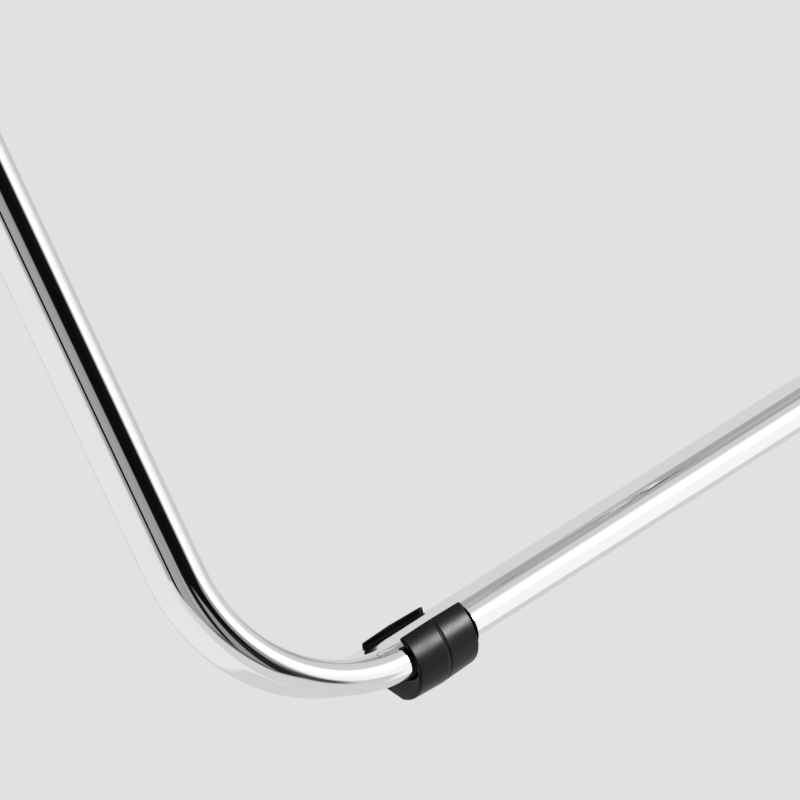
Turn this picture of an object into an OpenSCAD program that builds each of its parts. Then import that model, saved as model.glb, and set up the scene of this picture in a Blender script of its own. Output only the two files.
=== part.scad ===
// Folding valet stand: two leaning flat-oval tube leg frames on one pivot axis,
// an upright mast frame with a hanger, a tray and a swinging trouser bar.
// X runs along the floor bars, Y to the rear, Z up, floor at Z = 0.

/* [Overall] */
// Distance between the corner centrelines of the front leg frame
frame_w = 430; // [410:5:470]
// Distance between the front and rear floor bar centrelines
base_d = 432; // [408:6:468]
// Height of the top cross tube's centreline
top_z = 985; // [940:5:1080]
// Lean of both leg frames, as run over rise
slope = 0.75; // [0.7:0.01:0.8]

/* [Tube] */
// Long side of the flat-oval tube
tube_a = 30; // [28:1:32]
// Short side of the flat-oval tube
tube_b = 15; // [14:0.5:16]
// Wall of the tube
tube_t = 1.2; // [1:0.1:1.5]
// Centreline radius of the corner bends
bend_r = 75; // [60:1:85]
// Centreline radius of the bend between the leaning legs and the upright part
knee_r = 90; // [80:1:110]

/* [Glides] */
// Outer radius of the round back of a glide
glide_r = 17; // [16.8:0.1:18]
// Length of a glide along the bar
glide_len = 31; // [24:1:36]
// Height of the bar's centreline above the floor
bar_z = 15; // [13.5:0.1:15.5]
// Distance from the corner centreline to the near end of a glide
glide_off = 70; // [66:1:90]

/* [Fittings] */
// Height of the trouser bar
trouser_z = 850; // [780:5:860]
// Reach of the trouser bar behind the mast
trouser_reach = 75; // [60:1:85]
// Height of the tray's underside
tray_z = 890; // [880:2:900]
// Height of the cross rail
rail_z = 430; // [420:5:460]
// Height of the joint between the leg frame and the mast frame
joint_z = 500; // [480:5:560]

/* [Hidden] */
$fn = 48;

chrome = [0.86, 0.87, 0.88];
black = [0.10, 0.10, 0.11];
steel = [0.72, 0.73, 0.75];
nylon = [0.30, 0.30, 0.31];

lean = atan(slope);
pivot_len = (base_d / 2) / sin(lean);                 // floor bar to pivot, along the leg
pivot_z = bar_z + (base_d / 2) / tan(lean);
knee_start = pivot_len + 45;                          // where the leg's bend begins, along the leg
knee_y0 = -base_d / 2 + knee_start * sin(lean);
knee_z0 = bar_z + knee_start * cos(lean);
knee_cy = knee_y0 - knee_r * cos(lean);               // centre of the knee bend
knee_cz = knee_z0 + knee_r * sin(lean);
mast_y = knee_cy + knee_r;                            // the upright part's centreline
x_main = frame_w / 2;                                 // side tube centrelines
x_in = x_main - tube_b / 2;                           // inner face of the main side tubes
x_out = x_main + tube_b / 2;
disc_t = 5;
gap = 0.5;
rear_out = x_in - disc_t - gap;                       // outer face of the rear side tubes
x_rear = rear_out - tube_b / 2;
rear_in = rear_out - tube_b;
rear_w = 2 * x_rear;
slot_r = 17;                                          // stop pin circle
pin_a = 90 + lean;                                    // stop pin angle with the legs open
fold = 67;                                            // travel of the rear leg frame
ring_t = 3;

module stadium(w, d) {
  square([w, d - w], center = true);
  for (s = [-1, 1]) translate([0, s * (d - w) / 2]) circle(d = w);
}
module tube2d(i = 0) {
  stadium(tube_b - 2 * i * tube_t, tube_a - 2 * i * tube_t);
}
// U-shaped tube in the XZ plane, floor bar on the X axis, long side of the section along Y
module u_tube(w, leg, i = 0) {
  translate([-w / 2 + bend_r, 0, 0]) rotate([0, 90, 0]) linear_extrude(w - 2 * bend_r) tube2d(i);
  translate([-w / 2 + bend_r, 0, bend_r]) rotate([90, 0, 0]) rotate([0, 0, 180])
    rotate_extrude(angle = 90) translate([bend_r, 0]) tube2d(i);
  translate([w / 2 - bend_r, 0, bend_r]) rotate([90, 0, 0]) rotate([0, 0, 270])
    rotate_extrude(angle = 90) translate([bend_r, 0]) tube2d(i);
  for (s = [-1, 1]) translate([s * w / 2, 0, bend_r]) linear_extrude(leg - bend_r) tube2d(i);
}
// cylinder along X on both sides, from |x| = a to |x| = b
module x_pair(a, b, r, y, z) {
  for (s = [-1, 1]) translate([s * (a + b) / 2, y, z]) rotate([0, 90, 0])
    cylinder(r = r, h = b - a, center = true);
}
// domed screw head, flat side on z = 0
module dome(r, h) {
  R = (r * r + h * h) / (2 * h);
  rotate_extrude() intersection() {
    translate([0, h - R]) circle(R);
    square([r, h]);
  }
}
module x_domes(x, r, h, y, z) {
  translate([x, y, z]) rotate([0, 90, 0]) dome(r, h);
  translate([-x, y, z]) rotate([0, -90, 0]) dome(r, h);
}

// ---- front leg frame ----
module front_tube(i) {
  translate([0, -base_d / 2, bar_z]) rotate([-lean, 0, 0]) {
    u_tube(frame_w, knee_start, i);
    for (s = [-1, 1]) translate([s * x_main, -knee_r, knee_start]) {
      rotate([90, 0, 90]) rotate_extrude(angle = lean) translate([knee_r, 0]) rotate([0, 0, 90]) tube2d(i);
      rotate([lean, 0, 0]) translate([0, knee_r, 0]) linear_extrude(joint_z - ring_t / 2 - knee_cz) tube2d(i);
    }
  }
}
module front_leg_frame() color(chrome) difference() {
  front_tube(0);
  front_tube(1);
  x_pair(x_in - 2, x_out + 2, 4.1, 0, pivot_z);
  x_pair(x_in - 2, x_in + 3, 3.0, -18 * sin(lean), pivot_z - 18 * cos(lean));
  x_pair(x_in - 2, x_out + 2, 2.6, mast_y, rail_z);
  x_pair(x_main, x_out + 2, 2.1, mast_y, joint_z - 18);
}

// ---- glides ----
module glide2d() {
  // long side of the tube along X here, mouth towards +Y; the sole is cut by the caller
  difference() {
    circle(glide_r);
    rotate([0, 0, 90]) stadium(tube_b + 0.6, tube_a + 0.6);
    translate([-12.3, 0]) square([24.6, 20]);
    translate([-25, 9.5]) square([50, 20]);
  }
}
module glide_at(x0) {
  intersection() {
    translate([x0, 0, 0]) rotate([-lean, 0, 0]) rotate([90, 0, 90]) linear_extrude(glide_len) glide2d();
    translate([x0 - 1, -30, -bar_z]) cube([glide_len + 2, 60, 60]);
  }
}
module glide_pair(w) {
  for (m = [0, 1]) mirror([m, 0, 0]) glide_at(-w / 2 + glide_off);
}
module front_glides() color(black) translate([0, -base_d / 2, bar_z]) glide_pair(frame_w);
module rear_glides() color(black) mirror([0, 1, 0]) translate([0, -base_d / 2, bar_z]) glide_pair(rear_w);

// ---- mast frame ----
module mast_frame() color(chrome) difference() {
  translate([0, mast_y, top_z]) mirror([0, 0, 1]) u_tube(frame_w, top_z - joint_z - ring_t / 2);
  translate([0, mast_y, top_z]) mirror([0, 0, 1]) u_tube(frame_w, top_z - joint_z - ring_t / 2, 1);
  x_pair(x_main, x_out + 2, 2.1, mast_y, joint_z + 18);
  x_pair(x_in - 2, x_out + 2, 3.1, mast_y, trouser_z);
  x_pair(x_in - 2, x_out + 2, 2.6, mast_y, tray_z + 10);
  for (s = [-1, 1]) translate([s * 20, mast_y, top_z]) cylinder(r = 2.6, h = 30, center = true);
}
module joint_sleeves() color(steel) for (s = [-1, 1]) difference() {
  translate([s * x_main, mast_y, joint_z - 35]) linear_extrude(70) difference() {
    stadium(tube_b - 2 * tube_t - 0.2, tube_a - 2 * tube_t - 0.2);
    stadium(tube_b - 2 * tube_t - 3.2, tube_a - 2 * tube_t - 3.2);
  }
  for (k = [-18, 18]) x_pair(x_main, x_out, 2.1, mast_y, joint_z + k);
}
module joint_rings() color(black) for (s = [-1, 1])
  translate([s * x_main, mast_y, joint_z - ring_t / 2]) linear_extrude(ring_t) difference() {
    stadium(tube_b + 1.2, tube_a + 1.2);
    stadium(tube_b - 2 * tube_t, tube_a - 2 * tube_t);
  }
module joint_screws() color(steel) for (k = [-18, 18]) {
  x_pair(x_out - 5, x_out, 2.0, mast_y, joint_z + k);
  x_domes(x_out, 4, 2, mast_y, joint_z + k);
}

// ---- rear leg frame ----
module rear_leg_frame() color(chrome) mirror([0, 1, 0]) difference() {
  translate([0, -base_d / 2, bar_z]) rotate([-lean, 0, 0]) u_tube(rear_w, pivot_len + 26);
  translate([0, -base_d / 2, bar_z]) rotate([-lean, 0, 0]) u_tube(rear_w, pivot_len + 26, 1);
  x_pair(rear_in - 2, rear_out + 2, 5.5, 0, pivot_z);
  x_pair(rear_out - 4, rear_out + 2, 2.5, slot_r * sin(lean), pivot_z + slot_r * cos(lean));
}
module rear_end_plugs() color(black) mirror([0, 1, 0]) translate([0, -base_d / 2, bar_z]) rotate([-lean, 0, 0])
  for (s = [-1, 1]) translate([s * x_rear, 0, pivot_len + 26]) {
    linear_extrude(3) stadium(tube_b - 0.4, tube_a - 0.4);
    translate([0, 0, -5]) linear_extrude(5) stadium(tube_b - 2 * tube_t - 0.1, tube_a - 2 * tube_t - 0.1);
  }
module pivot_bushes() color(nylon) difference() {
  union() {
    x_pair(rear_in, rear_out, 5.5, 0, pivot_z);
    x_pair(rear_in - 1, rear_in, 8, 0, pivot_z);
  }
  x_pair(rear_in - 3, rear_out + 3, 4.05, 0, pivot_z);
}
module stop_pins() color(steel)
  x_pair(rear_out - 3.5, x_in - 1, 2.5, -slot_r * sin(lean), pivot_z + slot_r * cos(lean));

// ---- pivot hardware on the front frame ----
module pivot_bolts() color(chrome) {
  x_pair(rear_in - 8, x_out, 4.0, 0, pivot_z);
  x_domes(x_out, 9, 4.5, 0, pivot_z);
}
module disc2d() {
  a0 = pin_a - fold;
  difference() {
    circle(24);
    circle(4.1);
    intersection() {
      difference() {
        circle(slot_r + 2.8);
        circle(slot_r - 2.8);
      }
      polygon(concat([[0, 0]], [for (i = [0 : 4]) 40 * [cos(a0 + i * fold / 4), sin(a0 + i * fold / 4)]]));
    }
    for (a = [a0, pin_a]) rotate(a) translate([slot_r, 0]) circle(2.8);
  }
}
module pivot_discs() color(black) {
  for (s = [0, 1]) mirror([s, 0, 0]) translate([x_in - disc_t, 0, pivot_z]) rotate([90, 0, 90])
    linear_extrude(disc_t) disc2d();
  x_pair(x_in - 0.5, x_in + 2.5, 2.9, -18 * sin(lean), pivot_z - 18 * cos(lean));
}
module pivot_washers() color(steel) difference() {
  x_pair(rear_in - 2.6, rear_in - 1.4, 9, 0, pivot_z);
  x_pair(rear_in - 4, rear_in, 4.1, 0, pivot_z);
}
module pivot_cap_nuts() color(chrome) difference() {
  union() {
    for (s = [-1, 1]) translate([s * (rear_in - 5.6), 0, pivot_z]) rotate([0, 90, 0])
      cylinder(r = 7.4, h = 6, center = true, $fn = 6);
    x_domes_in(rear_in - 8.6, 6.2, 4.5, 0, pivot_z);
  }
  x_pair(rear_in - 8.3, rear_in, 4.02, 0, pivot_z);
}
// domes that face inward
module x_domes_in(x, r, h, y, z) {
  translate([x, y, z]) rotate([0, -90, 0]) dome(r, h);
  translate([-x, y, z]) rotate([0, 90, 0]) dome(r, h);
}

// ---- cross rail ----
module cross_rail() color(chrome) translate([0, mast_y, rail_z]) rotate([0, 90, 0]) difference() {
  cylinder(r = 8, h = 2 * (x_in - 6), center = true);
  cylinder(r = 6.8, h = 2 * x_in, center = true);
}
module rail_ferrules() color(black) difference() {
  union() {
    x_pair(x_in - 6, x_in, 12, mast_y, rail_z);
    x_pair(x_in - 18, x_in - 6, 6.7, mast_y, rail_z);
  }
  x_pair(x_in - 20, x_in + 1, 2.52, mast_y, rail_z);
}
module rail_screws() color(steel) {
  x_pair(x_in - 12, x_out, 2.5, mast_y, rail_z);
  x_domes(x_out, 5, 2.6, mast_y, rail_z);
}

// ---- trouser bar ----
eye_a = x_in - 4 - gap - 8.3;
eye_b = x_in - 4 - gap;
arm_x = (eye_a + eye_b) / 2;
arm_c = arm_x - 0.95;
arm_r = 20;
module trouser_bar() color(chrome) translate([0, mast_y, trouser_z]) difference() {
  union() {
    translate([0, trouser_reach, 0]) rotate([0, 90, 0]) cylinder(r = 5, h = 2 * (arm_c - arm_r), center = true);
    for (s = [0, 1]) mirror([s, 0, 0]) {
      translate([arm_c - arm_r, trouser_reach - arm_r, 0]) rotate_extrude(angle = 90) translate([arm_r, 0]) circle(5);
      translate([arm_c, 7, 0]) rotate([-90, 0, 0]) cylinder(r = 5, h = trouser_reach - arm_r - 7);
      translate([arm_x, 0, 0]) rotate([0, 90, 0]) cylinder(r = 9, h = 8.3, center = true);
    }
  }
  x_pair(eye_a - 1, eye_b + 1, 3.05, 0, 0);
}
module trouser_sleeve() color(black) translate([0, mast_y + trouser_reach, trouser_z]) rotate([0, 90, 0]) difference() {
  cylinder(r = 9, h = 310, center = true);
  cylinder(r = 5.02, h = 320, center = true);
}
module trouser_brackets() color(black) difference() {
  union() {
    x_pair(x_in - 4, x_in, 14, mast_y, trouser_z);
    for (s = [-1, 1]) translate([s * (x_in - 8.5), mast_y + 14.5, trouser_z - 8.4])
      cube([10, 7, 6], center = true);
  }
  x_pair(x_in - 6, x_in + 1, 3.1, mast_y, trouser_z);
}
module trouser_pivot_screws() color(chrome) {
  x_pair(eye_a - 6, x_out, 3.0, mast_y, trouser_z);
  x_domes(x_out, 6.5, 3.2, mast_y, trouser_z);
}
module trouser_washers() color(steel) difference() {
  x_pair(eye_a - 1.5, eye_a - 0.5, 6.5, mast_y, trouser_z);
  x_pair(eye_a - 2, eye_a, 3.1, mast_y, trouser_z);
}
module trouser_nuts() color(chrome) difference() {
  for (s = [-1, 1]) translate([s * (eye_a - 4), mast_y, trouser_z]) rotate([0, 90, 0])
    cylinder(r = 5.6, h = 5, center = true, $fn = 6);
  x_pair(eye_a - 8, eye_a - 1, 3.02, mast_y, trouser_z);
}

// ---- tray ----
tray_x = x_in - 3;
tray_y0 = mast_y - 118;
tray_d = 94;
module rrect(w, d, r) {
  square([w, d - 2 * r], center = true);
  square([w - 2 * r, d], center = true);
  for (i = [-1, 1], j = [-1, 1]) translate([i * (w / 2 - r), j * (d / 2 - r)]) circle(r);
}
module tray() color(black) translate([0, tray_y0 + tray_d / 2, tray_z]) difference() {
  linear_extrude(24) rrect(2 * tray_x, tray_d, 14);
  translate([0, 0, 3]) linear_extrude(30) rrect(2 * tray_x - 6, tray_d - 6, 11);
  for (y = [-20, 20]) x_pair(tray_x - 5, tray_x + 1, 1.6, y, 10);
}
module tray_mat() color([0.16, 0.16, 0.17]) translate([0, tray_y0 + tray_d / 2, tray_z + 3])
  linear_extrude(1.5) rrect(2 * tray_x - 7, tray_d - 7, 10.5);
module tray_arms() color(chrome) difference() {
  for (s = [-1, 1]) translate([s * (x_in - 1.5), 0, tray_z + 10]) {
    translate([0, (tray_y0 + 16 + mast_y) / 2, 0])
      cube([3, mast_y - tray_y0 - 16, 16], center = true);
    for (y = [tray_y0 + 16, mast_y]) translate([0, y, 0]) rotate([0, 90, 0]) cylinder(r = 8, h = 3, center = true);
  }
  x_pair(x_in - 4, x_in + 1, 2.52, mast_y, tray_z + 10);
  for (y = [-20, 20]) x_pair(x_in - 4, x_in + 1, 1.6, tray_y0 + tray_d / 2 + y, tray_z + 10);
}
module tray_arm_screws() color(steel) {
  x_pair(x_in - 2.8, x_out, 2.5, mast_y, tray_z + 10);
  x_domes(x_out, 5, 2.6, mast_y, tray_z + 10);
}
module tray_screws() color(steel) for (y = [-20, 20]) {
  x_pair(tray_x - 2.8, x_in, 1.58, tray_y0 + tray_d / 2 + y, tray_z + 10);
  x_domes(x_in, 3.2, 1.8, tray_y0 + tray_d / 2 + y, tray_z + 10);
}

// ---- hanger ----
module hanger_saddle() color(black) translate([0, mast_y, top_z]) difference() {
  translate([-32, -19, -3]) cube([64, 38, 29]);
  rotate([0, 90, 0]) linear_extrude(80, center = true) stadium(tube_b + 0.1, tube_a + 0.1);
  translate([-40, -14, -10]) cube([80, 28, 9]);
  for (s = [-1, 1]) translate([s * 20, 0, 0]) cylinder(r = 2.52, h = 22);
}
// shoulder line: half width, forward set, height above the top tube, radius
sh = [[0, 0, 62, 22], [70, -1, 60, 20], [135, -4, 46, 18], [180, -7, 26, 16.5], [204, -9, 9, 15.5]];
module blob(i, s) translate([s * sh[i][0], sh[i][1], sh[i][2]]) sphere(r = sh[i][3], $fn = 28);
module hanger() color(black) translate([0, mast_y, top_z]) {
  hull() {
    blob(1, -1);
    blob(0, 1);
    blob(1, 1);
  }
  for (s = [-1, 1]) {
    hull() { blob(1, s); blob(2, s); }
    hull() { blob(2, s); blob(3, s); }
    hull() { blob(3, s); blob(4, s); }
  }
  translate([0, 0, 26]) linear_extrude(20) rrect(64, 34, 8);
}
module hanger_screws() color(steel) for (s = [-1, 1]) translate([s * 20, mast_y, top_z - tube_b / 2]) {
  cylinder(r = 2.5, h = 28);
  mirror([0, 0, 1]) dome(5, 2.6);
}

front_leg_frame();
front_glides();
mast_frame();
joint_sleeves();
joint_rings();
joint_screws();
rear_leg_frame();
rear_glides();
rear_end_plugs();
pivot_bushes();
stop_pins();
pivot_bolts();
pivot_discs();
pivot_washers();
pivot_cap_nuts();
cross_rail();
rail_ferrules();
rail_screws();
trouser_bar();
trouser_sleeve();
trouser_brackets();
trouser_pivot_screws();
trouser_washers();
trouser_nuts();
tray();
tray_mat();
tray_arms();
tray_arm_screws();
tray_screws();
hanger_saddle();
hanger();
hanger_screws();
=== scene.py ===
# Folding valet stand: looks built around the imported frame.
import bpy, bmesh, math
import numpy as np
from mathutils import Vector, Matrix


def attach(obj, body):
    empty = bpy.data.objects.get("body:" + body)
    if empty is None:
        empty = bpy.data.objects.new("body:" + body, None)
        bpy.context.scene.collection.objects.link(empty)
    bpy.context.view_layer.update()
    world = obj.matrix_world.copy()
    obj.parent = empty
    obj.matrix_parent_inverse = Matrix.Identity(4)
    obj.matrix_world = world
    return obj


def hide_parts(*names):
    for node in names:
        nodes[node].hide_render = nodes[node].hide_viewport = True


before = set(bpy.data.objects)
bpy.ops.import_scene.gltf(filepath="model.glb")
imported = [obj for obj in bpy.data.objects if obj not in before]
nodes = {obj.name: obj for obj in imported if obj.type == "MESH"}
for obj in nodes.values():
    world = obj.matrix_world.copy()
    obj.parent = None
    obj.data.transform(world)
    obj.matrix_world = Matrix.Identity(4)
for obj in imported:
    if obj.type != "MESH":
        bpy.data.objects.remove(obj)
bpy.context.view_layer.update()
MM = 0.001

# ------------------------------------------------------------------ dimensions, as in the CAD
FRAME_W, BASE_D, TOP_Z = 430.0, 432.0, 985.0
SIN, COS = 0.6, 0.8                      # lean of the leg frames, 3 : 4 : 5
A, B, R, KR, BAR_Z = 30.0, 15.0, 75.0, 90.0, 15.0
PIVOT_LEN, JOINT_Z, RING = 360.0, 500.0, 3.0
KNEE = PIVOT_LEN + 45.0
MAST_Y = 45.0
X_MAIN = FRAME_W / 2
X_REAR = X_MAIN - B / 2 - 5.0 - 0.5 - B / 2

# ------------------------------------------------------------------ camera
CORNER = Vector((-FRAME_W / 2, -BASE_D / 2, BAR_Z)) * MM     # where the two centrelines would meet
PHI, ELE = math.radians(43.8), math.radians(40.7)
S_PX = 2.65                                                   # px per mm at 800 px
CX, CY = 257.0, 747.5                                         # where CORNER lands in the picture
right = Vector((math.cos(PHI), -math.sin(PHI), 0.0))
back = Vector((-math.sin(PHI) * math.cos(ELE), -math.cos(PHI) * math.cos(ELE), math.sin(ELE)))
up = back.cross(right)
DIST = 8.0
target = CORNER + right * ((400 - CX) / S_PX * MM) + up * ((CY - 400) / S_PX * MM)
cam_data = bpy.data.cameras.new("camera")
cam = bpy.data.objects.new("camera", cam_data)
bpy.context.scene.collection.objects.link(cam)
rot = Matrix((right, up, back)).transposed().to_4x4()
cam.matrix_world = Matrix.Translation(target + back * DIST) @ rot
cam_data.sensor_width = 36.0
cam_data.sensor_fit = "HORIZONTAL"
cam_data.lens = 36.0 * DIST / (800 / S_PX * MM)
cam_data.clip_start, cam_data.clip_end = 0.05, 60.0
bpy.context.scene.camera = cam
bpy.context.scene.view_settings.view_transform = "Standard"
bpy.context.scene.view_settings.look = "None"
bpy.context.scene.view_settings.exposure = 0.0
bpy.context.scene.view_settings.gamma = 1.0


# ------------------------------------------------------------------ node helpers
class Graph:
    """Small helper for building shader graphs."""

    def __init__(self, tree):
        self.t = tree
        self.t.nodes.clear()
        self.x = 0

    def n(self, kind, **props):
        node = self.t.nodes.new(kind)
        node.location = (self.x, 0)
        self.x += 40
        for k, v in props.items():
            setattr(node, k, v)
        return node

    def put(self, socket, value):
        if isinstance(value, bpy.types.NodeSocket):
            self.t.links.new(value, socket)
        else:
            socket.default_value = value

    def math(self, op, a, b=None, c=None, clamp=False):
        node = self.n("ShaderNodeMath", operation=op, use_clamp=clamp)
        self.put(node.inputs[0], a)
        if b is not None:
            self.put(node.inputs[1], b)
        if c is not None:
            self.put(node.inputs[2], c)
        return node.outputs[0]

    def smooth(self, v, a, b, lo=0.0, hi=1.0):
        node = self.n("ShaderNodeMapRange", interpolation_type="SMOOTHSTEP", clamp=True)
        self.put(node.inputs["Value"], v)
        node.inputs["From Min"].default_value = a
        node.inputs["From Max"].default_value = b
        node.inputs["To Min"].default_value = lo
        node.inputs["To Max"].default_value = hi
        return node.outputs[0]

    def band(self, v, a, b, soft):
        """1 between a and b, 0 outside, with soft edges."""
        return self.math("MULTIPLY", self.smooth(v, a - soft, a + soft), self.smooth(v, b - soft, b + soft, 1.0, 0.0))

    def mixf(self, f, a, b):
        node = self.n("ShaderNodeMix", data_type="FLOAT")
        self.put(node.inputs[0], f)
        self.put(node.inputs[2], a)
        self.put(node.inputs[3], b)
        return node.outputs[0]


# ------------------------------------------------------------------ studio: world, floor, lights
BG = 0.753            # linear value of the pale backdrop
CORE = 42.0           # strength of the softbox's middle


def build_world():
    world = bpy.data.worlds.new("studio")
    bpy.context.scene.world = world
    world.use_nodes = True
    g = Graph(world.node_tree)
    tc = g.n("ShaderNodeTexCoord")
    sep = g.n("ShaderNodeSeparateXYZ")
    g.put(sep.inputs[0], tc.outputs["Generated"])
    x, y, z = sep.outputs
    az = g.math("MULTIPLY", g.math("ARCTAN2", x, g.math("MULTIPLY", y, -1.0)), 180 / math.pi)   # 0 in front, + to the right
    el = g.math("MULTIPLY", g.math("ARCSINE", z, clamp=False), 180 / math.pi)
    def mul(*m):
        out = m[0]
        for k in m[1:]:
            out = g.math("MULTIPLY", out, k)
        return out

    def shear(k):
        """Azimuth plus k times elevation, for edges that lean."""
        return g.math("MULTIPLY_ADD", el, k, az)

    # pale sweep below, brighter to the rear left
    v = g.mixf(g.smooth(el, -34, -22), 0.64, 0.60)
    v = g.mixf(mul(g.band(az, -178, -133, 5), g.smooth(el, -30, -38)), v, 0.80)
    # pale walls behind and to the right
    v = g.mixf(mul(g.band(az, 58, 178, 8), g.smooth(el, -34, -26)), v, 0.62)
    v = g.mixf(mul(g.band(az, 104, 140, 8), g.band(el, -40, -6, 8)), v, 0.76)
    v = g.mixf(mul(g.band(az, 139, 178, 4), g.band(el, -34, 0, 4)), v, 0.66)
    v = g.mixf(g.smooth(el, 56, 66), v, 0.66)
    # grey panel up behind to the right, with fine streaks where it is broken up
    tex = g.n("ShaderNodeTexNoise")
    mp = g.n("ShaderNodeMapping")
    g.put(mp.inputs["Vector"], tc.outputs["Generated"])
    mp.inputs["Scale"].default_value = (26, 26, 9)
    g.put(tex.inputs["Vector"], mp.outputs[0])
    tex.inputs["Scale"].default_value = 1.0
    tex.inputs["Detail"].default_value = 3.0
    streak = g.smooth(tex.outputs["Fac"], 0.38, 0.64, 0.27, 0.46)
    flag = mul(g.band(az, 108, 149, 5), g.band(el, 22, 56, 4))
    v = g.mixf(flag, v, streak)
    flag2 = mul(g.band(az, 141, 152, 2), g.band(el, -3, 24, 4))
    v = g.mixf(flag2, v, 0.40)
    # soft grey patch to the right
    v = g.mixf(mul(g.band(az, 92, 108, 12), g.band(el, 2, 16, 12)), v, 0.20)
    # grey room in front, to the left; its lower edge rises towards the right
    edge1 = g.math("MULTIPLY_ADD", az, 0.12, -28.6)
    edge2 = g.math("MULTIPLY_ADD", az, 0.72, -16.6)
    low = g.math("SUBTRACT", el, g.math("MAXIMUM", edge1, edge2))
    room = mul(g.smooth(low, -3, 3), g.band(az, -126, 19, 3))
    v = g.mixf(room, v, g.smooth(az, -84, -72, 0.35, 0.29))
    v = g.mixf(mul(g.band(az, -70, -56, 6), g.band(el, -22, 4, 7)), v, 0.42)
    v = g.mixf(mul(g.smooth(low, -4, 1), g.smooth(low, 9, 3), g.band(az, -70, -22, 4)), v, 0.11)
    # dark upright things in it
    v = g.mixf(mul(g.smooth(shear(0.25), -62, -57), g.smooth(shear(-0.05), -39, -44), g.band(el, -29, 40, 3)), v, 0.010)
    block = mul(g.smooth(shear(0.28), -28.5, -23.5), g.smooth(shear(0.25), 4, -1), g.smooth(low, -1, 4))
    v = g.mixf(block, v, 0.016)
    v = g.mixf(mul(g.band(az, 0, 15, 3), g.band(el, -17, 2, 4)), v, 0.055)
    # dark above
    roof = g.math("SUBTRACT", el, g.math("MULTIPLY_ADD", g.math("ABSOLUTE", g.math("ADD", az, 40.0)), -0.3, 12.0))
    v = g.mixf(mul(g.smooth(roof, -1.5, 1.5), g.band(az, -84, -1, 3)), v, 0.004)
    # thin dark seam far left
    v = g.mixf(mul(g.band(az, -127, -112, 1.5), g.band(el, -42, 10, 2)), v, 0.002)
    v = g.mixf(mul(g.band(az, -134, -128, 1), g.band(el, -41.5, 10, 1)), v, 0.36)
    # large softbox at the front right, faded at its rims, with a strong core
    box = mul(g.smooth(az, 8, 22), g.smooth(az, 72, 48), g.smooth(g.math("MULTIPLY_ADD", az, 0.8, el), 7, 14), g.smooth(el, 66, 46))
    v = g.mixf(box, v, g.smooth(el, 8, 24, 0.93, 1.12))
    box2 = mul(g.smooth(az, 24, 31), g.smooth(az, 58, 50), g.smooth(el, -46, -36), g.smooth(el, 30, 14))
    v = g.mixf(box2, v, 0.94)
    v = g.mixf(mul(g.smooth(el, 22.5, 25), g.smooth(el, 34, 30), g.band(az, -20, 6, 3)), v, 0.006)
    # seen by light that has bounced once, so that the bright tubes don't sparkle in each other
    path = g.n("ShaderNodeLightPath")
    hops = g.math("ADD", path.outputs["Glossy Depth"], path.outputs["Diffuse Depth"])
    sent = g.math("ADD", path.outputs["Is Glossy Ray"], path.outputs["Is Diffuse Ray"])
    first = g.math("LESS_THAN", g.math("SUBTRACT", hops, sent), 0.5)
    core = mul(g.smooth(az, 26, 36), g.smooth(az, 56, 44), g.smooth(el, 21, 30), g.smooth(el, 46, 38), first)
    v = g.math("MULTIPLY_ADD", core, CORE, v)
    v = g.mixf(path.outputs["Is Camera Ray"], v, BG)
    bgn = g.n("ShaderNodeBackground")
    col = g.n("ShaderNodeCombineColor")
    for i in range(3):
        g.put(col.inputs[i], v)
    g.put(bgn.inputs["Color"], col.outputs[0])
    bgn.inputs["Strength"].default_value = 1.0
    out = g.n("ShaderNodeOutputWorld")
    g.put(out.inputs["Surface"], bgn.outputs[0])
    return world


build_world()

floor_mesh = bpy.data.meshes.new("floor")
floor_mesh.from_pydata([(-20, -20, 0), (20, -20, 0), (20, 20, 0), (-20, 20, 0)], [], [(0, 1, 2, 3)])
floor = bpy.data.objects.new("floor", floor_mesh)
bpy.context.scene.collection.objects.link(floor)
floor.location.z = -0.0005
fm = bpy.data.materials.new("pale_floor")
fm.use_nodes = True
g = Graph(fm.node_tree)
em = g.n("ShaderNodeEmission")
em.inputs["Color"].default_value = (BG, BG, BG, 1)
g.put(g.n("ShaderNodeOutputMaterial").inputs["Surface"], em.outputs[0])
floor_mesh.materials.append(fm)
floor.visible_glossy = False
floor.visible_diffuse = False
floor.visible_shadow = False
floor.visible_transmission = False


# ------------------------------------------------------------------ materials
def new_mat(name):
    m = bpy.data.materials.new(name)
    m.use_nodes = True
    g = Graph(m.node_tree)
    bsdf = g.n("ShaderNodeBsdfPrincipled")
    g.put(g.n("ShaderNodeOutputMaterial").inputs["Surface"], bsdf.outputs[0])
    return m, g, bsdf


def obj_coord(g):
    return g.n("ShaderNodeTexCoord").outputs["Object"]


def noise(g, vec, scale, detail=3.0, rough=0.55):
    node = g.n("ShaderNodeTexNoise")
    g.put(node.inputs["Vector"], vec)
    node.inputs["Scale"].default_value = scale
    node.inputs["Detail"].default_value = detail
    node.inputs["Roughness"].default_value = rough
    return node.outputs["Fac"]


def ramp_colour(g, fac, stops):
    node = g.n("ShaderNodeValToRGB")
    g.put(node.inputs[0], fac)
    while len(node.color_ramp.elements) < len(stops):
        node.color_ramp.elements.new(0.5)
    for e, (p, c) in zip(node.color_ramp.elements, stops):
        e.position = p
        e.color = (*c, 1)
    return node.outputs[0]


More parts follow.
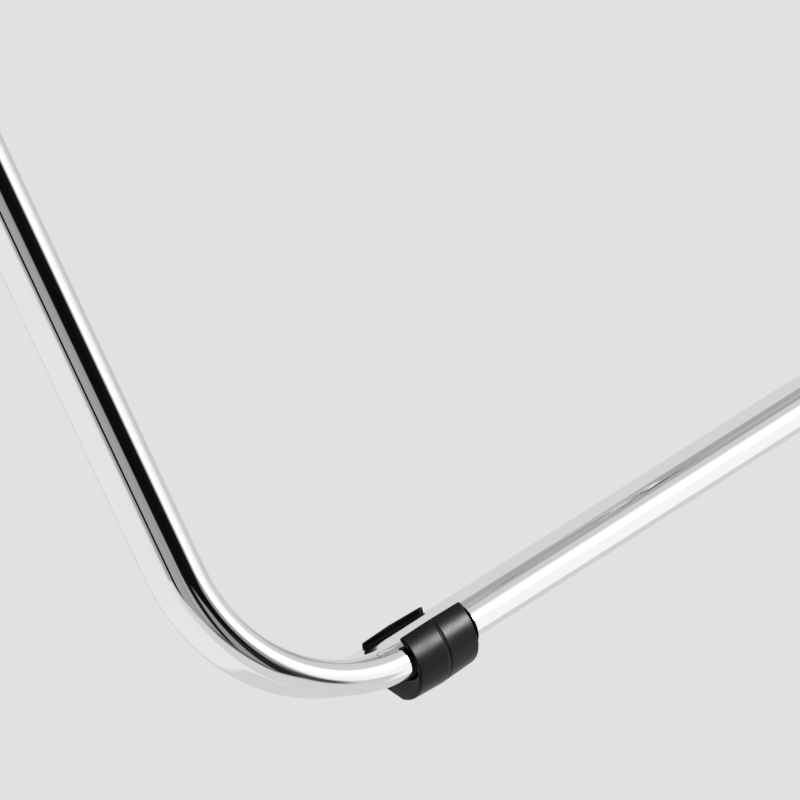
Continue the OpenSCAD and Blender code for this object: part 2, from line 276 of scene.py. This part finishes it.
def chrome(name="chrome", rough=0.03, ripple=0.000006):
    m, g, b = new_mat(name)
    oc = obj_coord(g)
    n1 = noise(g, oc, 22, 2)
    n2 = noise(g, oc, 900, 3)
    g.put(b.inputs["Base Color"], ramp_colour(g, n1, [(0.25, (0.955, 0.96, 0.965)), (0.8, (0.985, 0.985, 0.985))]))
    b.inputs["Metallic"].default_value = 1.0
    g.put(b.inputs["Roughness"], g.smooth(n2, 0.3, 0.75, rough, rough + 0.035))
    bump = g.n("ShaderNodeBump")
    bump.inputs["Strength"].default_value = 0.5
    bump.inputs["Distance"].default_value = ripple
    g.put(bump.inputs["Height"], noise(g, oc, 60, 2))
    g.put(b.inputs["Normal"], bump.outputs[0])
    return m


def plastic(name, base, rough, grain_scale=2600.0, grain=0.00002, gloss_var=0.08, spec=0.5):
    m, g, b = new_mat(name)
    oc = obj_coord(g)
    n1 = noise(g, oc, 45, 3)
    lo = tuple(c * 0.85 for c in base)
    hi = tuple(c * 1.2 for c in base)
    g.put(b.inputs["Base Color"], ramp_colour(g, n1, [(0.3, lo), (0.75, hi)]))
    n2 = noise(g, oc, 160, 4)
    g.put(b.inputs["Roughness"], g.smooth(n2, 0.25, 0.8, rough, rough + gloss_var))
    b.inputs["Specular IOR Level"].default_value = spec
    bump = g.n("ShaderNodeBump")
    bump.inputs["Strength"].default_value = 0.6
    bump.inputs["Distance"].default_value = grain
    vor = g.n("ShaderNodeTexVoronoi")
    g.put(vor.inputs["Vector"], oc)
    vor.inputs["Scale"].default_value = grain_scale
    h = g.math("ADD", g.math("MULTIPLY", vor.outputs["Distance"], 0.6), noise(g, oc, grain_scale * 0.6, 2))
    g.put(bump.inputs["Height"], h)
    g.put(b.inputs["Normal"], bump.outputs[0])
    return m


M = {}
M["chrome"] = chrome()
M["chrome_small"] = chrome("chrome_small", 0.05)
M["glide"] = plastic("glide_plastic", (0.0024, 0.0024, 0.0025), 0.26, 3200, 0.000008, 0.08, 0.22)
M["black"] = plastic("black_plastic", (0.012, 0.012, 0.0125), 0.42, 2200, 0.00003, 0.10)
M["hanger"] = plastic("hanger_plastic", (0.012, 0.012, 0.0125), 0.34, 1800, 0.00003, 0.08)
M["nylon"] = plastic("nylon", (0.16, 0.16, 0.155), 0.45, 2600, 0.00001, 0.08)
M["steel"] = None


def brushed(name="zinc_steel"):
    m, g, b = new_mat(name)
    oc = obj_coord(g)
    mp = g.n("ShaderNodeMapping")
    g.put(mp.inputs["Vector"], oc)
    mp.inputs["Scale"].default_value = (400, 3000, 3000)
    n1 = noise(g, mp.outputs[0], 1.0, 3)
    g.put(b.inputs["Base Color"], ramp_colour(g, noise(g, oc, 140, 2), [(0.3, (0.56, 0.57, 0.59)), (0.75, (0.70, 0.71, 0.72))]))
    b.inputs["Metallic"].default_value = 1.0
    g.put(b.inputs["Roughness"], g.smooth(n1, 0.25, 0.8, 0.22, 0.38))
    return m


def rubber(name="grip_rubber"):
    m, g, b = new_mat(name)
    oc = obj_coord(g)
    g.put(b.inputs["Base Color"], ramp_colour(g, noise(g, oc, 120, 4), [(0.3, (0.018, 0.018, 0.019)), (0.8, (0.035, 0.035, 0.036))]))
    g.put(b.inputs["Roughness"], g.smooth(noise(g, oc, 500, 3), 0.2, 0.8, 0.62, 0.8))
    bump = g.n("ShaderNodeBump")
    bump.inputs["Strength"].default_value = 0.7
    bump.inputs["Distance"].default_value = 0.00005
    g.put(bump.inputs["Height"], noise(g, oc, 1500, 3))
    g.put(b.inputs["Normal"], bump.outputs[0])
    return m


def felt(name="felt"):
    m, g, b = new_mat(name)
    oc = obj_coord(g)
    g.put(b.inputs["Base Color"], ramp_colour(g, noise(g, oc, 900, 5, 0.7), [(0.3, (0.03, 0.03, 0.033)), (0.75, (0.075, 0.075, 0.08))]))
    b.inputs["Roughness"].default_value = 0.95
    b.inputs["Sheen Weight"].default_value = 0.4
    b.inputs["Sheen Roughness"].default_value = 0.5
    bump = g.n("ShaderNodeBump")
    bump.inputs["Strength"].default_value = 0.9
    bump.inputs["Distance"].default_value = 0.0002
    g.put(bump.inputs["Height"], noise(g, oc, 1400, 4, 0.7))
    g.put(b.inputs["Normal"], bump.outputs[0])
    return m


M["steel"] = brushed()
M["rubber"] = rubber()
M["felt"] = felt()

# ------------------------------------------------------------------ mesh helpers
def link(name, verts, faces, mat, body, smooth=True, sharp=None):
    me = bpy.data.meshes.new(name)
    me.from_pydata([tuple(v) for v in verts], [], faces)
    me.validate()
    me.update()
    ob = bpy.data.objects.new(name, me)
    bpy.context.scene.collection.objects.link(ob)
    me.materials.append(mat)
    if smooth:
        me.polygons.foreach_set("use_smooth", [True] * len(me.polygons))
        if sharp:
            me.set_sharp_from_angle(angle=math.radians(sharp))
    if body:
        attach(ob, body)
    return ob


def tidy_normals(ob):
    bm = bmesh.new()
    bm.from_mesh(ob.data)
    bmesh.ops.recalc_face_normals(bm, faces=bm.faces)
    bm.to_mesh(ob.data)
    bm.free()


def stadium_ring(b, a, seg=20, rows=3):
    """Outline of a flat-oval, b across (u) and a along (v), as (u, v) points counter-clockwise."""
    r = b / 2
    h = (a - b) / 2
    pts = []
    for i in range(seg + 1):                       # round end at +v
        t = math.pi * i / seg
        pts.append((r * math.cos(t), h + r * math.sin(t)))
    for i in range(1, rows + 1):                   # flat at -u
        pts.append((-r, h - 2 * h * i / (rows + 1)))
    for i in range(seg + 1):
        t = math.pi + math.pi * i / seg
        pts.append((r * math.cos(t), -h + r * math.sin(t)))
    for i in range(1, rows + 1):
        pts.append((r, -h + 2 * h * i / (rows + 1)))
    return pts


def sweep(frames, section, caps=True):
    """frames: list of (point, u axis, v axis, su, sv) in mm; section: outline points. Returns verts (m), faces."""
    n = len(section)
    verts, faces = [], []
    for p, u, v, su, sv in frames:
        for a_, b_ in section:
            q = p + u * (a_ * su) + v * (b_ * sv)
            verts.append(q * MM)
    for k in range(len(frames) - 1):
        for i in range(n):
            j = (i + 1) % n
            faces.append((k * n + i, k * n + j, (k + 1) * n + j, (k + 1) * n + i))
    if caps:
        faces.append(tuple(range(n - 1, -1, -1)))
        last = (len(frames) - 1) * n
        faces.append(tuple(last + i for i in range(n)))
    return verts, faces


V = Vector
XA = V((1, 0, 0))


def u_path(O, P, N, w, leg, r, flat=0.05, arc_step=1.5, lead=None, tail=None):
    """Frames of a U-shaped tube from the left leg's top, round the floor bar, to the right leg's top.
    P runs up the legs, N is the long side of the section. u points out of the loop."""
    out = []

    def add(x, p, ux, up_, su=1.0, sv=1.0):
        out.append((O + XA * x + P * p, XA * ux + P * up_, N, su, sv))

    steps = max(2, int((leg - r) / 25))
    for i in range(steps + 1):
        add(-w / 2, leg - (leg - r) * i / steps, -1, 0)
    k = int(90 / arc_step)
    for i in range(1, k):
        t = math.radians(180 + 90 * i / k)
        e = min(1.0, math.sin(math.pi * i / k) * 1.35)
        add(-w / 2 + r + r * math.cos(t), r + r * math.sin(t), math.cos(t), math.sin(t), 1 - flat * e, 1 + flat * 0.3 * e)
    steps = max(2, int((w - 2 * r) / 20))
    for i in range(steps + 1):
        add(-w / 2 + r + (w - 2 * r) * i / steps, 0, 0, -1)
    for i in range(1, k):
        t = math.radians(270 + 90 * i / k)
        e = min(1.0, math.sin(math.pi * i / k) * 1.35)
        add(w / 2 - r + r * math.cos(t), r + r * math.sin(t), math.cos(t), math.sin(t), 1 - flat * e, 1 + flat * 0.3 * e)
    steps = max(2, int((leg - r) / 25))
    for i in range(steps + 1):
        add(w / 2, r + (leg - r) * i / steps, 1, 0)
    return out


def end_chamfer(fr, inward=0.5):
    """Adds a small rounded lip at both open ends of a tube."""
    a, b = fr[0], fr[-1]
    da = (fr[0][0] - fr[1][0]).normalized()
    db = (fr[-1][0] - fr[-2][0]).normalized()
    first = (a[0], a[1], a[2], a[3] * (1 - 2 * inward / B), a[4] * (1 - 2 * inward / A))
    last = (b[0], b[1], b[2], b[3] * (1 - 2 * inward / B), b[4] * (1 - 2 * inward / A))
    a2 = (a[0] - da * inward, *a[1:])
    b2 = (b[0] - db * inward, *b[1:])
    return [first, a2] + fr[1:-1] + [b2, last]


SEC = stadium_ring(B, A, 22, 3)
F_P, F_N = V((0, SIN, COS)), V((0, -COS, SIN))
F_O = V((0, -BASE_D / 2, BAR_Z))
front = u_path(F_O, F_P, F_N, FRAME_W, KNEE, R)
# knee and upright stub, added on both ends
top_z0 = JOINT_Z - RING / 2
cy = F_O.y + KNEE * SIN - KR * COS
cz = F_O.z + KNEE * COS + KR * SIN


def knee(side):
    pts = []
    k = 26
    for i in range(1, k + 1):
        t = -math.atan2(SIN, COS) * (1 - i / k)        # from the lean to the vertical
        pos = V((side * FRAME_W / 2, cy + KR * math.cos(t), cz + KR * math.sin(t)))
        v = V((0, -math.cos(t), -math.sin(t)))
        pts.append((pos, V((side, 0, 0)), v, 1.0, 1.0))
    for i in range(1, 6):
        pos = V((side * FRAME_W / 2, MAST_Y, cz + (top_z0 - cz) * i / 5))
        pts.append((pos, V((side, 0, 0)), V((0, -1, 0)), 1.0, 1.0))
    return pts


front = list(reversed(knee(-1))) + front + knee(1)
verts, faces = sweep(end_chamfer(front), SEC)
front_tube = link("front_leg_tube", verts, faces, M["chrome"], "main_frame", sharp=40)
tidy_normals(front_tube)
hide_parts("front_leg_frame")

mast = u_path(V((0, MAST_Y, TOP_Z)), V((0, 0, -1)), V((0, -1, 0)), FRAME_W, TOP_Z - JOINT_Z - RING / 2, R)
verts, faces = sweep(end_chamfer(mast), SEC)
mast_tube = link("mast_tube", verts, faces, M["chrome"], "main_frame", sharp=40)
tidy_normals(mast_tube)
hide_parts("mast_frame")

rear = u_path(V((0, BASE_D / 2, BAR_Z)), V((0, -SIN, COS)), V((0, COS, SIN)), 2 * X_REAR, PIVOT_LEN + 26, R)
verts, faces = sweep(end_chamfer(rear), SEC)
rear_tube = link("rear_leg_tube", verts, faces, M["chrome"], "rear_legs", sharp=40)
tidy_normals(rear_tube)
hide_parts("rear_leg_frame")


# ------------------------------------------------------------------ clip-on glides
def glide_outline():
    """C-shaped section in (n, p), with a flag: 1 on the round back, 2 in the bore, 3 and 4 on the lip tips, 0 elsewhere."""
    pts = []
    r, ri, h, m, top = 17.0, 7.8, 7.5, 12.3, 9.5
    rt = 1.15
    tc = (math.sqrt((r - rt) ** 2 - (top - rt) ** 2), top - rt)
    a0 = math.degrees(math.atan2(tc[1], tc[0]))
    k = 72
    for i in range(k + 1):
        a = math.radians(a0 - (180 + 2 * a0) * i / k)
        pts.append((r * math.cos(a), r * math.sin(a), 1))
    # far lip's rounded tip
    for i in range(1, 10):
        a = math.radians(180 - a0 - (135 - a0) * i / 9)
        pts.append((-tc[0] + rt * math.cos(a), tc[1] + rt * math.sin(a), 4))
    pe = math.sqrt(ri * ri - (m - h) ** 2)
    pts.append((-m - 1.0, (tc[1] + pe) / 2, 0))
    t0 = math.degrees(math.atan2(pe, m - h))
    for i in range(19):
        a = math.radians(180 - t0 + (90 + t0) * i / 18)
        pts.append((-h + ri * math.cos(a), ri * math.sin(a), 2))
    for i in range(1, 6):
        pts.append((-h + 2 * h * i / 6, -ri, 2))
    for i in range(19):
        a = math.radians(-90 + (90 + t0) * i / 18)
        pts.append((h + ri * math.cos(a), ri * math.sin(a), 2))
    pts.append((m + 1.0, (tc[1] + pe) / 2, 0))
    for i in range(9):
        a = math.radians(135 - (135 - a0) * i / 9)
        pts.append((tc[0] + rt * math.cos(a), tc[1] + rt * math.sin(a), 3))
    return pts


def glide_mesh(x0, O, P, N, flip=False, verts=None, faces=None, length=31.0):
    base = glide_outline()
    n = len(base)
    xy = np.array([(a, b) for a, b, _ in base])
    flag = np.array([c == 1 for _, _, c in base], float)
    bore = np.array([c == 2 for _, _, c in base], float)
    lip = xy[0] / np.linalg.norm(xy[0])
    tip = np.array([(lip[0] * {3: 1, 4: -1}.get(c, 0), lip[1] * (c in (3, 4))) for _, _, c in base])
    nxt, prv = np.roll(xy, -1, 0), np.roll(xy, 1, 0)
    t = nxt - prv
    nor = np.stack([t[:, 1], -t[:, 0]], 1)
    nor /= np.linalg.norm(nor, axis=1)[:, None] + 1e-9
    area = np.sum(xy[:, 0] * nxt[:, 1] - nxt[:, 0] * xy[:, 1])
    if area < 0:
        nor = -nor
    er = 0.9
    st = []
    for x in (0.0, 0.06, 0.2, 0.42, 0.68, er):
        st.append((x, er - math.sqrt(max(0, er * er - (er - x) ** 2)), 0.0))
    mid = length / 2
    for x in (1.5, 2.2, 3, 6, 9, 12, 14, mid - 0.45):
        st.append((x, 0.0, 0.0))
    st += [(mid - 0.22, 0.0, 0.16), (mid, 0.0, 0.20), (mid + 0.22, 0.0, 0.16)]
    for x in (mid + 0.45, mid + 1.5, mid + 4, mid + 7, mid + 10, length - 2.2, length - 1.5):
        st.append((x, 0.0, 0.0))
    for x in (er, 0.68, 0.42, 0.2, 0.06, 0.0):
        st.append((length - x, er - math.sqrt(max(0, er * er - (er - x) ** 2)), 0.0))
    start = len(verts)
    for x, e, g_ in st:
        rr = 17.0 - 0.62 * abs(x - mid) / mid + (0.10 if x < mid else 0.0) - 0.10
        pos = xy * (1 + flag[:, None] * (rr / 17.0 - 1)) + tip * (rr - 17.0) - nor * e
        rad = np.linalg.norm(xy, axis=1)[:, None]
        pos = pos - flag[:, None] * xy / rad * g_
        pos = pos - bore[:, None] * nor * 1.1 * max(0.0, 1 - min(x, length - x) / 2.2)
        for (a, b), f in zip(pos, flag):
            z = b * P.z + a * N.z
            if f and z < -BAR_Z + e * 0.8:
                dz = (-BAR_Z + e * 0.8) - z
                a += N.z * dz
                b += P.z * dz
            verts.append((O + XA * (x0 + x) + P * b + N * a) * MM)
    for k in range(len(st) - 1):
        for i in range(n):
            j = (i + 1) % n
            faces.append((start + k * n + i, start + k * n + j, start + (k + 1) * n + j, start + (k + 1) * n + i))
    # end faces, as strips between the back and the bore
    for k, rev in ((0, True), (len(st) - 1, False)):
        o = start + k * n
        outer = list(range(0, 73))
        inner = list(range(n - 1, 72, -1))
        i = j = 0
        while i < len(outer) - 1 or j < len(inner) - 1:
            fi = (i + 1) / (len(outer) - 1)
            fj = (j + 1) / (len(inner) - 1)
            if j >= len(inner) - 1 or (i < len(outer) - 1 and fi <= fj):
                tri = (o + outer[i], o + outer[i + 1], o + inner[j])
                i += 1
            else:
                tri = (o + outer[i], o + inner[j + 1], o + inner[j])
                j += 1
            faces.append(tri if not rev else tri[::-1])


def glides(name, O, P, N, w, body, node):
    verts, faces = [], []
    glide_mesh(-w / 2 + 70, O, P, N, verts=verts, faces=faces)
    glide_mesh(w / 2 - 70 - 31, O, P, N, verts=verts, faces=faces)
    ob = link(name, verts, faces, M["glide"], body, sharp=48)
    tidy_normals(ob)
    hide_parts(node)
    return ob


glides("front_glide_clips", F_O, F_P, F_N, FRAME_W, "main_frame", "front_glides")
glides("rear_glide_clips", V((0, BASE_D / 2, BAR_Z)), V((0, -SIN, COS)), V((0, COS, SIN)), 2 * X_REAR, "rear_legs", "rear_glides")

# ------------------------------------------------------------------ hanger
def smooth_at(xs, ys, x):
    """Smooth curve through the points, level at x = 0 (monotone cubic)."""
    n = len(xs)
    d = [(ys[i + 1] - ys[i]) / (xs[i + 1] - xs[i]) for i in range(n - 1)]
    m = [0.0] + [0.5 * (d[i - 1] + d[i]) for i in range(1, n - 1)] + [d[-1]]
    i = 0
    while i < n - 2 and x > xs[i + 1]:
        i += 1
    h = xs[i + 1] - xs[i]
    t = (x - xs[i]) / h
    return ((2 * t ** 3 - 3 * t ** 2 + 1) * ys[i] + (t ** 3 - 2 * t ** 2 + t) * h * m[i]
            + (-2 * t ** 3 + 3 * t ** 2) * ys[i + 1] + (t ** 3 - t ** 2) * h * m[i + 1])


def rrect_loop(w, d, r, seg=10):
    out = []
    for cx, cy, a0 in ((w / 2 - r, d / 2 - r, 0), (-w / 2 + r, d / 2 - r, 90), (-w / 2 + r, -d / 2 + r, 180), (w / 2 - r, -d / 2 + r, 270)):
        for i in range(seg + 1):
            a = math.radians(a0 + 90 * i / seg)
            out.append((cx + r * math.cos(a), cy + r * math.sin(a)))
    return out


def skin(loops, verts, faces, close=True):
    """Joins loops of equal length and closes both ends."""
    start, n = len(verts), len(loops[0])
    for lp in loops:
        verts.extend(q * MM for q in lp)
    for k in range(len(loops) - 1):
        for i in range(n):
            j = (i + 1) % n
            faces.append((start + k * n + i, start + k * n + j, start + (k + 1) * n + j, start + (k + 1) * n + i))
    if close:
        faces.append(tuple(range(start + n - 1, start - 1, -1)))
        last = start + (len(loops) - 1) * n
        faces.append(tuple(last + i for i in range(n)))


SX = [0, 70, 135, 180, 204]
SY = [0, -1, -4, -7, -9]
SZ = [62, 60, 46, 26, 9]
SR = [21.6, 20, 18, 16.5, 15.5]
verts, faces, loops = [], [], []
ends = [204 + 15.2 * math.sin(math.pi / 2 * i / 9) for i in range(1, 10)]
xs = [-e for e in reversed(ends)] + [204 * (i / 30) for i in range(-30, 31)] + ends
for x in xs:
    ax, sg = abs(x), (1 if x >= 0 else -1)
    q = min(ax, 204.0)
    c = V((sg * q, smooth_at(SX, SY, q), smooth_at(SX, SZ, q)))
    e = 0.5
    t = V((e * 2, sg * (smooth_at(SX, SY, min(q + e, 204)) - smooth_at(SX, SY, max(q - e, 0))) * (1 if 0 < q < 204 else 0),
           sg * (smooth_at(SX, SZ, min(q + e, 204)) - smooth_at(SX, SZ, max(q - e, 0))) * (1 if 0 < q < 204 else 0)))
    if q >= 204:
        t = V((e * 2, sg * -0.083, sg * -0.708))
    t.normalize()
    r = smooth_at(SX, SR, q)
    k = 1.0
    if ax > 204:
        f = (ax - 204) / 15.5
        c = c + t * (sg * (ax - 204))
        k = math.sqrt(max(0.0, 1 - f * f))
    side = t.cross(V((0, 0, 1))).normalized()
    up_ = side.cross(t).normalized()
    lp = []
    for i in range(40):
        a = 2 * math.pi * i / 40
        ca, sa = math.cos(a), math.sin(a)
        # fuller on top and at the front and back, drawn in a little underneath
        pw = 0.86
        a_ = math.copysign(abs(ca) ** pw, ca)
        b_ = math.copysign(abs(sa) ** pw, sa)
        nrm = 1.0 / max(1.0, math.hypot(a_, b_))
        lp.append(V((0, MAST_Y, TOP_Z)) + c + side * (r * k * a_ * nrm) + up_ * (r * k * b_ * nrm * (1.0 if b_ > 0 else 0.93)))
    loops.append(lp)
skin(loops, verts, faces)
neck = []
for z, w, d, rr in ((26, 62.4, 32.4, 7.2), (26.3, 63.4, 33.4, 7.7), (27, 64, 34, 8), (38, 64, 34, 8), (42, 65, 34.6, 8.2), (45, 67.5, 36, 9), (46.5, 70, 37, 9.5), (50, 70, 34, 9.5)):
    neck.append([V((a, MAST_Y + b, TOP_Z + z)) for a, b in rrect_loop(w, d, rr)])
skin(neck, verts, faces)
hang = link("hanger_bow", verts, faces, M["hanger"], "main_frame", sharp=50)
tidy_normals(hang)
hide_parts("hanger")

# ------------------------------------------------------------------ tray, with rolled rim and rounded corners
TX, TY0, TD, TZ = 204.5, MAST_Y - 118.0, 94.0, 890.0
verts, faces, loops = [], [], []
prof = [(2.4, 0), (1.2, 0.3), (0.35, 1.2), (0, 2.4), (0, 8), (0, 21.6), (0.1, 22.8), (0.5, 23.6), (1.1, 23.97), (1.9, 23.97), (2.5, 23.6), (2.9, 22.8),
        (3.0, 21.6), (3.0, 12), (3.0, 6.0), (3.3, 4.5), (4.1, 3.4), (5.2, 3.0)]
for off, z in prof:
    loops.append([V((a, TY0 + TD / 2 + b, TZ + z)) for a, b in rrect_loop(2 * TX - 2 * off, TD - 2 * off, 14 - off, 12)])
skin(loops, verts, faces)
tray_shell = link("tray_shell", verts, faces, M["black"], "main_frame", sharp=50)
tidy_normals(tray_shell)
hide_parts("tray")

# ------------------------------------------------------------------ ribbed grip on the trouser bar
verts, faces, loops = [], [], []
rings = [(-155, 8.3), (-154.7, 8.75), (-154, 9.0), (-148, 9.0)]
n_rib = 59
for i in range(n_rib):
    x = -148 + 296 * i / n_rib
    rings += [(x + 0.4, 9.0), (x + 0.9, 8.55), (x + 1.7, 8.55), (x + 2.2, 9.0)]
rings += [(148, 9.0), (154, 9.0), (154.7, 8.75), (155, 8.3)]
inner = [(155, 5.6), (154.6, 5.1), (-154.6, 5.1), (-155, 5.6)]
for x, r in rings + inner:
    loops.append([V((x, MAST_Y + 75 + r * math.cos(2 * math.pi * i / 36), 850 + r * math.sin(2 * math.pi * i / 36))) for i in range(36)])
skin(loops + [loops[0]], verts, faces, close=False)
grip = link("ribbed_grip", verts, faces, M["rubber"], "trouser_hanger", sharp=60)
bm = bmesh.new()
bm.from_mesh(grip.data)
bmesh.ops.remove_doubles(bm, verts=bm.verts, dist=1e-6)
bmesh.ops.recalc_face_normals(bm, faces=bm.faces)
bm.to_mesh(grip.data)
bm.free()
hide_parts("trouser_sleeve")


# ------------------------------------------------------------------ small mouldings with broken edges
def soften(node, width, mat, body):
    src = nodes[node]
    bm = bmesh.new()
    bm.from_mesh(src.data)
    bm.transform(src.matrix_world)
    bmesh.ops.remove_doubles(bm, verts=bm.verts, dist=2e-6)
    bmesh.ops.dissolve_limit(bm, angle_limit=math.radians(1.0), verts=bm.verts, edges=bm.edges)
    sharp = [e for e in bm.edges if len(e.link_faces) == 2 and e.calc_face_angle(0) > math.radians(45)]
    bmesh.ops.bevel(bm, geom=sharp, offset=width * MM, offset_type="OFFSET", segments=2, profile=0.5, affect="EDGES", clamp_overlap=True)
    bmesh.ops.recalc_face_normals(bm, faces=bm.faces)
    me = bpy.data.meshes.new(node + "_soft")
    bm.to_mesh(me)
    bm.free()
    ob = bpy.data.objects.new(node + "_soft", me)
    bpy.context.scene.collection.objects.link(ob)
    me.materials.append(mat)
    me.polygons.foreach_set("use_smooth", [True] * len(me.polygons))
    me.set_sharp_from_angle(angle=math.radians(35))
    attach(ob, body)
    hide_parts(node)


for node, width in (("hanger_saddle", 1.2), ("rail_ferrules", 0.8), ("trouser_brackets", 0.6), ("tray_arms", 0.5), ("pivot_cap_nuts", 0.25), ("trouser_nuts", 0.25)):
    mk, sl = {"tray_arms": ("chrome", "chrome_tube"), "pivot_cap_nuts": ("chrome_small", "bright_fastener"), "trouser_nuts": ("chrome_small", "bright_fastener")}.get(node, ("black", "black_plastic"))
    soften(node, width, M[mk], "main_frame")

# ------------------------------------------------------------------ finishes on the CAD pieces that stay
FIN = {
    "chrome": ["cross_rail", "trouser_bar", "tray_arms"],
    "chrome_small": ["pivot_bolts", "pivot_cap_nuts", "trouser_pivot_screws", "trouser_nuts"],
    "steel": ["joint_screws", "rail_screws", "tray_arm_screws", "tray_screws", "hanger_screws", "pivot_washers",
              "trouser_washers", "joint_sleeves", "stop_pins"],
    "black": ["joint_rings", "rear_end_plugs", "pivot_discs", "rail_ferrules", "trouser_brackets", "tray", "hanger_saddle"],
    "hanger": ["hanger"],
    "nylon": ["pivot_bushes"],
    "rubber": ["trouser_sleeve"],
    "felt": ["tray_mat"],
}
for key, names in FIN.items():
    for nm in names:
        o = nodes[nm]
        o.data.materials.clear()
        o.data.materials.append(M[key])
        o.data.polygons.foreach_set("use_smooth", [True] * len(o.data.polygons))
        o.data.set_sharp_from_angle(angle=math.radians(32))
